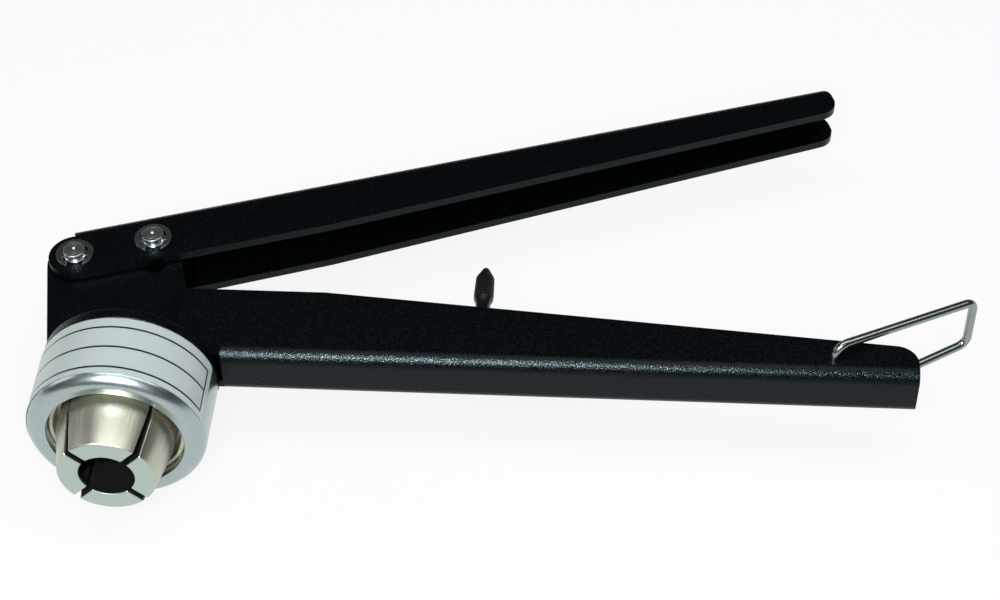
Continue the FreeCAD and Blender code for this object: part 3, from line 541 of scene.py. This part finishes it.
# The four jaws are nickel-plated. Their outer cones are turned and warm, and the ground end faces are
# paler. The slit walls and the bore are painted nearly black and lose their metal: painted shade for the
# dark inside of the jaws.
NICKEL = (0.50, 0.51, 0.42)
END_FACE = (0.45, 0.54, 0.485)
END_FACE_HEIGHTS = (0.3, 0.06)
# The colour of the painted shade inside the slits and the bore.
SLIT_PAINTED_SHADE = (0.004, 0.005, 0.005)
JAW_EDGE = 0.16
JAW_ROUGHNESS = (0.3, 0.4)
SLIT_ROUGHNESS = 0.6
JAW_MARKS = 0.12
JAW_CLOUD = 3.0
JAW_SHADE = 0.94
JAW_TIP_RADIUS = 10.7
JAW_BODY_RADIUS = 12.7
JAW_CONE = 10.0
JAW_SKIN = 0.3
JAW_SKIN_FADE = 0.25

jaw_metal = Finish("jaw_nickel", NICKEL, Specular_IOR_Level=0.1)
x, y, z = jaw_metal.place()
radius = (x * x + z * z) ** 0.5
lines = tool_marks(jaw_metal, radius, y, JAW_MARKS)
cloud = jaw_metal.noise(jaw_metal.vector(x, y, z), JAW_CLOUD)
cone = y * ((JAW_BODY_RADIUS - JAW_TIP_RADIUS) / JAW_CONE) + JAW_TIP_RADIUS
depth = cone.at_most(JAW_BODY_RADIUS) - radius
face = y.between(*END_FACE_HEIGHTS)
# Painted shade: below the cone's skin, in the slits and the bore, the colour goes to nearly black and the
# metal is taken away.
inside = depth.between(JAW_SKIN, JAW_SKIN + JAW_SKIN_FADE) * (1 - face)
plate = jaw_metal.blend(cloud, shade(NICKEL, JAW_SHADE), NICKEL)
plate = jaw_metal.blend(face, plate, END_FACE)
jaw_metal.set("Base Color", jaw_metal.blend(inside, plate, SLIT_PAINTED_SHADE))
jaw_metal.set("Metallic", 1 - inside)
jaw_metal.set("Roughness", lines.span(*JAW_ROUGHNESS) + inside * SLIT_ROUGHNESS)
jaw_metal.bump(lines, MARK_STRENGTH, MARK_DEPTH)
for number in range(1, 5):
    name = "jaw_%d" % number
    stands_for(softened(name, JAW_EDGE), jaw_metal, name, "nickel", name)


# The label is a glossy white sticker with rounded corners, stuck round the
# sleeve and ruled with thin black lines into two rows that stay empty.
LABEL_SPAN = (-140.0, 77.0)
LABEL_CORNER = 1.1
LABEL_THICKNESS = 0.1
LABEL_RULES = (25.2, 19.6, 13.9)
LABEL_ENDS = (-134.0, 71.5)
LABEL_LINE = 0.5
LABEL_WHITE = (0.60, 0.70, 0.69)
LABEL_SHADE = 0.985
LABEL_ROUGHNESS = (0.30, 0.38)
LABEL_INK = (0.012, 0.014, 0.016)
FIBRE_SIZE = 0.8
FIBRE_STRETCH = 0.35

low, high = in_mm(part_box("label"))
label_radius = high[2]
label_low = low[1]
label_high = high[1]


def sticker(name, columns=161, corner_rows=8, middle_rows=12):
    """The sticker's outer face: angle along the rows and height up the columns.

    A point stands at the label's radius times the sine and the cosine of its
    angle. Near the top and bottom the ends draw in by c - sqrt(c^2 - (c - d)^2)
    for a corner of radius c, at a depth d from the edge.
    """
    share = np.linspace(0, 1, columns)
    depth = LABEL_CORNER * (1 - np.cos(np.linspace(0, np.pi / 2, corner_rows)))
    middle = np.linspace(label_low + LABEL_CORNER, label_high - LABEL_CORNER, middle_rows)
    height = np.concatenate([label_low + depth, middle[1:-1], label_high - depth[::-1]])
    inside = np.clip(LABEL_CORNER - np.minimum(height - label_low, label_high - height), 0, None)
    draw_in = LABEL_CORNER - np.sqrt(np.clip(LABEL_CORNER ** 2 - inside ** 2, 0, None))
    start = np.radians(LABEL_SPAN[0]) + draw_in / label_radius
    stop = np.radians(LABEL_SPAN[1]) - draw_in / label_radius
    angle = start[:, None] + (stop - start)[:, None] * share[None, :]
    upward = height[:, None]
    piece = skin(name, points(label_radius * np.sin(angle), upward, label_radius * np.cos(angle)))
    layer = piece.data.uv_layers.new(name="print")
    corner = np.empty(len(piece.data.loops), np.int64)
    piece.data.loops.foreach_get("vertex_index", corner)
    flat = points(np.degrees(angle), upward).reshape(-1, 2)
    layer.data.foreach_set("uv", flat[corner].astype(np.float32).ravel())
    piece.data.shade_smooth()
    wall = piece.modifiers.new("thickness", "SOLIDIFY")
    wall.thickness = LABEL_THICKNESS * MM
    wall.offset = -1
    return piece


paper = Finish("sticker", LABEL_WHITE, Coat_Weight=0.25, Coat_Roughness=0.15)
where = paper.node("ShaderNodeUVMap", {"uv_map": "print"})
apart = paper.node("ShaderNodeSeparateXYZ", None, {0: Signal(paper, where.outputs[0])})
along, height = Signal(paper, apart.outputs[0]), Signal(paper, apart.outputs[1])
half_line = LABEL_LINE / 2
half_end = half_line * math.degrees(1 / label_radius)
between_ends = (along > LABEL_ENDS[0] - half_end) * (along < LABEL_ENDS[1] + half_end)
ink = 0.0
for rule in LABEL_RULES:
    ink = (abs(height - rule) < half_line) * between_ends + ink
between_rules = (height > LABEL_RULES[2]) * (height < LABEL_RULES[0])
for end in LABEL_ENDS:
    ink = ink + (abs(along - end) < half_end) * between_rules
fibre = paper.noise(paper.vector(along * FIBRE_STRETCH, height, 0.0), FIBRE_SIZE, detail=3.0)
sheet = paper.blend(fibre, shade(LABEL_WHITE, LABEL_SHADE), LABEL_WHITE)
paper.set("Base Color", paper.blend(ink.at_most(1.0), sheet, LABEL_INK))
paper.set("Roughness", fibre.span(*LABEL_ROUGHNESS))
stands_for(sticker("label_finished"), paper, "frame", "label_paper", "label")


# Both pins are turned steel bars across the handles, with rings turned into
# their ends and a groove for a clip near each end.
PIN_STEEL = (0.50, 0.56, 0.55)
PIN_ROUGHNESS = 0.26
PIN_MARKS = 0.35
PIN_RELIEF = 0.1
PIN_EDGE = 0.2
PIN_HEAD = 1.05
GROOVE_WIDTH = 0.8
GROOVE_DEPTH = 0.5
PIN_RINGS = (
    # (share of the pin's radius, depth under its end)
    (0.8, 0.0), (0.74, 0.07), (0.68, 0.0),
    (0.54, 0.0), (0.48, 0.07), (0.42, 0.0),
    (0.2, 0.0), (0.1, 0.25), (0.0, 0.25),
)
FAR_SIDE = (1, -1)

for name, body in (("pivot_pin", "frame"), ("drive_pin", "lever")):
    low, high = in_mm(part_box(name))
    centre = ((low[0] + high[0]) / 2, (low[1] + high[1]) / 2)
    pin_radius = (high[0] - low[0]) / 2
    reach = high[2]
    groove_out = reach - PIN_HEAD
    groove_in = groove_out - GROOVE_WIDTH
    groove_radius = pin_radius - GROOVE_DEPTH
    end_face = np.array(PIN_RINGS) * (pin_radius, -1) + (0, reach)
    near_side = np.concatenate([
        [(pin_radius, groove_in), (groove_radius, groove_in), (groove_radius, groove_out)],
        [(pin_radius, groove_out), (pin_radius, reach)],
        end_face[:1],
    ])
    both_sides = np.concatenate([near_side[::-1] * FAR_SIDE, near_side])
    shank = rounded(both_sides, PIN_EDGE, closed=False)[1:-1]
    profile = np.concatenate([end_face[::-1] * FAR_SIDE, shank, end_face])
    pin = lathe(name + "_finished", profile, steps=96, closed=False, axis="Z", centre=centre)
    metal = turned_metal(name + "_steel", PIN_STEEL, PIN_ROUGHNESS, PIN_MARKS, "Z", centre, PIN_RELIEF)
    stands_for(pin, metal, body, "zinc", name)


# The pins are held by E-shaped clips, one at each end, stamped from dark spring
# steel and sprung into the grooves.
CLIP_STEEL = (0.28, 0.33, 0.32)
CLIP_SHADE = 0.8
CLIP_CLOUD = 1.2
CLIP_ROUGHNESS = (0.24, 0.30)
CLIP_EDGE = 0.14


def mottled(name, first, second, size, roughness, **constants):
    """A finish in which noise of a given size goes from one colour to the other.

    The same noise takes the roughness from its first value to its second.
    """
    finish = Finish(name, second, **constants)
    cloud = finish.noise(finish.vector(*finish.place()), size, detail=3.0)
    finish.set("Roughness", cloud.span(*roughness))
    finish.set("Base Color", finish.blend(cloud, first, second))
    return finish


clip_metal = mottled("clip_steel", shade(CLIP_STEEL, CLIP_SHADE), CLIP_STEEL, CLIP_CLOUD, CLIP_ROUGHNESS,
                     metallic=1.0)
for name, body in (("pivot_pin_clips", "frame"), ("drive_pin_clips", "lever")):
    stands_for(softened(name, CLIP_EDGE), clip_metal, body, "zinc", name)


# The washers beside the ears, the nut that holds the stop screw and the snap
# ring under the plunger's cone are small steel pieces, plated with zinc.
ZINC_DULL = (0.36, 0.40, 0.40)
ZINC_BRIGHT = (0.45, 0.49, 0.49)
ZINC_SPANGLE = 0.7
ZINC_ROUGHNESS = (0.20, 0.38)
ZINC_EDGE = 0.1

zinc = mottled("zinc_plate", ZINC_DULL, ZINC_BRIGHT, ZINC_SPANGLE, ZINC_ROUGHNESS, metallic=1.0)
for name, body in (("pivot_washers", "frame"), ("stop_nut", "frame"), ("cone_clip", "plunger")):
    stands_for(softened(name, ZINC_EDGE), zinc, body, "zinc", name)


# The bail is one wire of bright drawn steel, bent to a loop. Its two ends are
# sprung into holes in the fixed handle's cheeks, where it swings.
WIRE_DULL = (0.23, 0.27, 0.26)
WIRE_BRIGHT = (0.32, 0.37, 0.36)
WIRE_ROUGHNESS = (0.14, 0.28)
WIRE_STREAK = 0.3
WIRE_STRETCH = 0.3
BAIL_EDGE = 0.15

wire = Finish("bright_wire", WIRE_BRIGHT, metallic=1.0)
x, y, z = wire.place()
drawn = wire.noise(wire.vector(x * WIRE_STRETCH, y * WIRE_STRETCH, z), WIRE_STREAK, detail=3.0)
wire.set("Roughness", drawn.span(*WIRE_ROUGHNESS))
wire.set("Base Color", wire.blend(drawn, WIRE_DULL, WIRE_BRIGHT))
stands_for(softened("bail", BAIL_EDGE), wire, "bail", "bail_wire", "bail")


# The torsion spring is round wire: a hook in the far ear, three turns round the
# pivot pin and a straight leg under the lever's web. The leg is a piece of its
# own that turns with the lever, as the real one bends with it.
SPRING_WIRE = 1.0
SPRING_PITCH = 1.15
SPRING_TURNS = 3
SPRING_LEG = 9.0
SPRING_BEND = 0.75
COIL_RADIUS = 3.35
ANCHOR_DROP = 12.7
HOOK_END = -4.4
REST_ANGLE = math.radians(18.5)
UNDER_WEB = 6.45
TURN_POINTS = 40
ELBOW_POINTS = 7
HOOK_POINTS = 4
STRAIGHT_POINTS = 8
LEG_POINTS = 6
# The coil stops this many points before its end, and the leg's piece starts
# this many before it, so that the two overlap where they meet.
COIL_STOPS = 5
LEG_STARTS = 10
WIRE_END_RINGS = (0.0, 0.7)
WIRE_END_BULGE = 0.3
WIRE_FIRST_AXIS = (0.31, 0.82, 0.48)


def tube(name, route, radius, sides=16):
    """A round wire along a route of points, with its ends closed by low domes.

    Each ring is the route's point plus the radius times the cosine along one
    cross axis and the sine along the other. The cross axes are carried from
    point to point, each laid square to the next direction, so that the wire
    doesn't twist.
    """
    ahead = np.gradient(route, axis=0)
    ahead /= np.linalg.norm(ahead, axis=1)[:, None]
    first = np.cross(ahead[0], WIRE_FIRST_AXIS)
    across = [first / np.linalg.norm(first)]
    for direction in ahead[1:]:
        carried = across[-1] - direction * np.dot(across[-1], direction)
        across.append(carried / np.linalg.norm(carried))
    across = np.array(across)
    upward = np.cross(ahead, across)
    turn = np.linspace(0, 2 * np.pi, sides, endpoint=False)[None, :, None]
    rings = route[:, None] + radius * (across[:, None] * np.cos(turn) + upward[:, None] * np.sin(turn))
    share = np.array(WIRE_END_RINGS)[:, None, None]
    bulge = radius * WIRE_END_BULGE * (1 - share)
    start = route[0] + (rings[0] - route[0]) * share - ahead[0] * bulge
    stop = route[-1] + (rings[-1] - route[-1]) * share[::-1] + ahead[-1] * bulge[::-1]
    return closed_up(skin(name, np.concatenate([start, rings, stop]), wrap_columns=True))


low, high = in_mm(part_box("pivot_pin"))
pivot = np.array([(low[0] + high[0]) / 2, (low[1] + high[1]) / 2, 0.0])
leg_turn = math.atan2(COIL_RADIUS, SPRING_LEG) + math.asin(UNDER_WEB / math.hypot(SPRING_LEG, COIL_RADIUS))
leaving = REST_ANGLE + leg_turn
last = 2 * math.pi * SPRING_TURNS + leaving - math.pi / 2
rise = SPRING_PITCH * last / (2 * math.pi)
bottom = -rise / 2
quarter = np.linspace(0, np.pi / 2, ELBOW_POINTS)
angle = np.linspace(0, last, TURN_POINTS * SPRING_TURNS)
hook = points(COIL_RADIUS, -ANCHOR_DROP, np.linspace(HOOK_END, bottom - SPRING_BEND, HOOK_POINTS)[:-1])
elbow = points(COIL_RADIUS, SPRING_BEND * (1 - np.cos(quarter)) - ANCHOR_DROP,
               bottom - SPRING_BEND * (1 - np.sin(quarter)))
straight = points(COIL_RADIUS, np.linspace(SPRING_BEND - ANCHOR_DROP, 0, STRAIGHT_POINTS)[1:-1], bottom)
coil = points(COIL_RADIUS * np.cos(angle), COIL_RADIUS * np.sin(angle), bottom + rise * angle / last)
away = np.array([math.cos(leaving), math.sin(leaving), 0.0])
leg = coil[-1] + away * np.linspace(0, SPRING_LEG, LEG_POINTS)[1:, None]
coil_route = np.concatenate([hook, elbow, straight, coil[:-COIL_STOPS]]) + pivot
leg_route = np.concatenate([coil[-LEG_STARTS:], leg]) + pivot
spring = tube("spring_finished", coil_route, SPRING_WIRE / 2)
stands_for(spring, wire, "frame", "spring_steel", "torsion_spring")
bent_leg = tube("spring_leg_finished", leg_route, SPRING_WIRE / 2)
bent_leg.data.materials.append(wire.material)
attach(bent_leg, "lever")


# The stop screw is black-oxide steel, screwed into its nut in the fixed handle.
# A diamond knurl covers its head up to the point: two sets of grooves that run
# round it in opposite directions.
STOP_THREAD = 2.0
STOP_THREAD_CHAMFER = 0.4
STOP_WAIST = 1.7
STOP_WAIST_LENGTH = 5.0
STOP_NECK = 1.2
STOP_RADIUS = 2.3
STOP_HEAD_LENGTH = 10.0
STOP_HEAD = (
    # (share of the way up the head, radius)
    (0.0, STOP_RADIUS - 0.1), (0.12, STOP_RADIUS), (0.7, STOP_RADIUS - 0.15), (1.0, 0.85),
)
STOP_HEAD_END = 0.6
STOP_POINT = (
    # (radius, depth under the tip)
    (0.6, 0.22), (0.25, 0.0), (0.0, 0.0),
)
KNURL_COUNT = 18
KNURL_DEPTH = 0.22
KNURL_SLANT = 1.62
KNURL_SHARPNESS = 1.6
KNURL_START = 0.4
KNURL_END = 0.7
OXIDE_DARK = (0.003, 0.004, 0.005)
OXIDE_WORN = (0.012, 0.013, 0.013)
OXIDE_ROUGHNESS = (0.24, 0.38)
WEAR_SIZE = 0.5
WEAR_SPOTS = (0.55, 0.75)


def knurled_screw(name, low, tip, centre_x, rows=66, steps=144):
    """The screw's outline turned about its axis, with the knurl cut into the head.

    A groove lies where the sine of half the count times the angle, plus or
    minus the slant times the height, comes near nought. The radius is less
    there by up to the groove's depth, and a greater sharpness makes the
    groove narrower.
    """
    shoulder = tip - STOP_HEAD_LENGTH
    waist_top = shoulder - STOP_NECK
    waist_low = waist_top - STOP_WAIST_LENGTH
    share, head_radius = np.array(STOP_HEAD).T
    outline = np.concatenate([
        [(0.0, low), (STOP_THREAD - STOP_THREAD_CHAMFER, low), (STOP_THREAD, low + STOP_THREAD_CHAMFER)],
        [(STOP_THREAD, waist_low), (STOP_WAIST, waist_low), (STOP_WAIST, waist_top)],
        points(np.interp(np.linspace(0, 1, rows), share, head_radius),
               np.linspace(shoulder, tip - STOP_HEAD_END, rows)),
        np.array(STOP_POINT) * (1, -1) + (0, tip),
    ])
    angle = np.linspace(0, 2 * np.pi, steps, endpoint=False)
    radius, height = outline.T[:, :, None]
    one_way = np.abs(np.sin(KNURL_COUNT / 2 * angle + KNURL_SLANT * height))
    other_way = np.abs(np.sin(KNURL_COUNT / 2 * angle - KNURL_SLANT * height))
    knurled = (height > shoulder + KNURL_START) & (height < tip - KNURL_END)
    grooves = np.clip(1 - np.minimum(one_way, other_way) * KNURL_SHARPNESS, 0, 1)
    radius = radius - KNURL_DEPTH * grooves * knurled * (radius / STOP_RADIUS)
    grid = points(centre_x + radius * np.sin(angle), height, radius * np.cos(angle))
    return closed_up(skin(name, grid, wrap_columns=True))


black = Finish("black_oxide", OXIDE_DARK, Specular_IOR_Level=0.35)
wear = black.noise(black.vector(*black.place()), WEAR_SIZE, detail=3.0)
black.set("Base Color", black.blend(wear.between(*WEAR_SPOTS), OXIDE_DARK, OXIDE_WORN))
black.set("Roughness", wear.span(*OXIDE_ROUGHNESS))
low, high = in_mm(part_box("stop_screw"))
stop_screw = knurled_screw("stop_screw_finished", low[1], high[1], (low[0] + high[0]) / 2)
stands_for(stop_screw, black, "stop_screw", "black_screw", "stop_screw")


# Inside the head sit the plunger's bronze guide, the hardened cone and fulcrum
# ring, and two rubber pieces: the pusher's pad and the ring that draws the
# jaws' upper ends together.
BRONZE = (0.55, 0.38, 0.20)
BRONZE_ROUGHNESS = 0.35
BRONZE_MARKS = 0.12
HARD_STEEL = (0.30, 0.30, 0.29)
HARD_ROUGHNESS = 0.28
HARD_MARKS = 0.08
RUBBER = (0.012, 0.012, 0.012)
RUBBER_BLOOM = 1.6
RUBBER_CLOUD = 0.9
RUBBER_ROUGHNESS = (0.5, 0.7)
RING_ARC = (0, 345)


def dress(name, finish):
    """Gives a CAD node its finish."""
    for slot in nodes[name].material_slots:
        slot.material = finish.material


dress("plunger_guide", turned_metal("bearing_bronze", BRONZE, BRONZE_ROUGHNESS, BRONZE_MARKS))
hard = turned_metal("hardened_steel", HARD_STEEL, HARD_ROUGHNESS, HARD_MARKS)
dress("closing_cone", hard)
dress("fulcrum_ring", hard)
rubber = mottled("black_rubber", RUBBER, shade(RUBBER, RUBBER_BLOOM), RUBBER_CLOUD, RUBBER_ROUGHNESS,
                 Specular_IOR_Level=0.3)
dress("pusher_pad", rubber)
low, high = in_mm(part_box("jaw_return_ring"))
ring_wire = (high[1] - low[1]) / 2
ring_centre = (high[0] - ring_wire, (low[1] + high[1]) / 2)
ring_profile = arc_profile(ring_centre, ring_wire, *RING_ARC, steps=24)
return_ring = lathe("return_ring_finished", ring_profile, steps=160)
stands_for(return_ring, rubber, "frame", "elastomer", "jaw_return_ring")
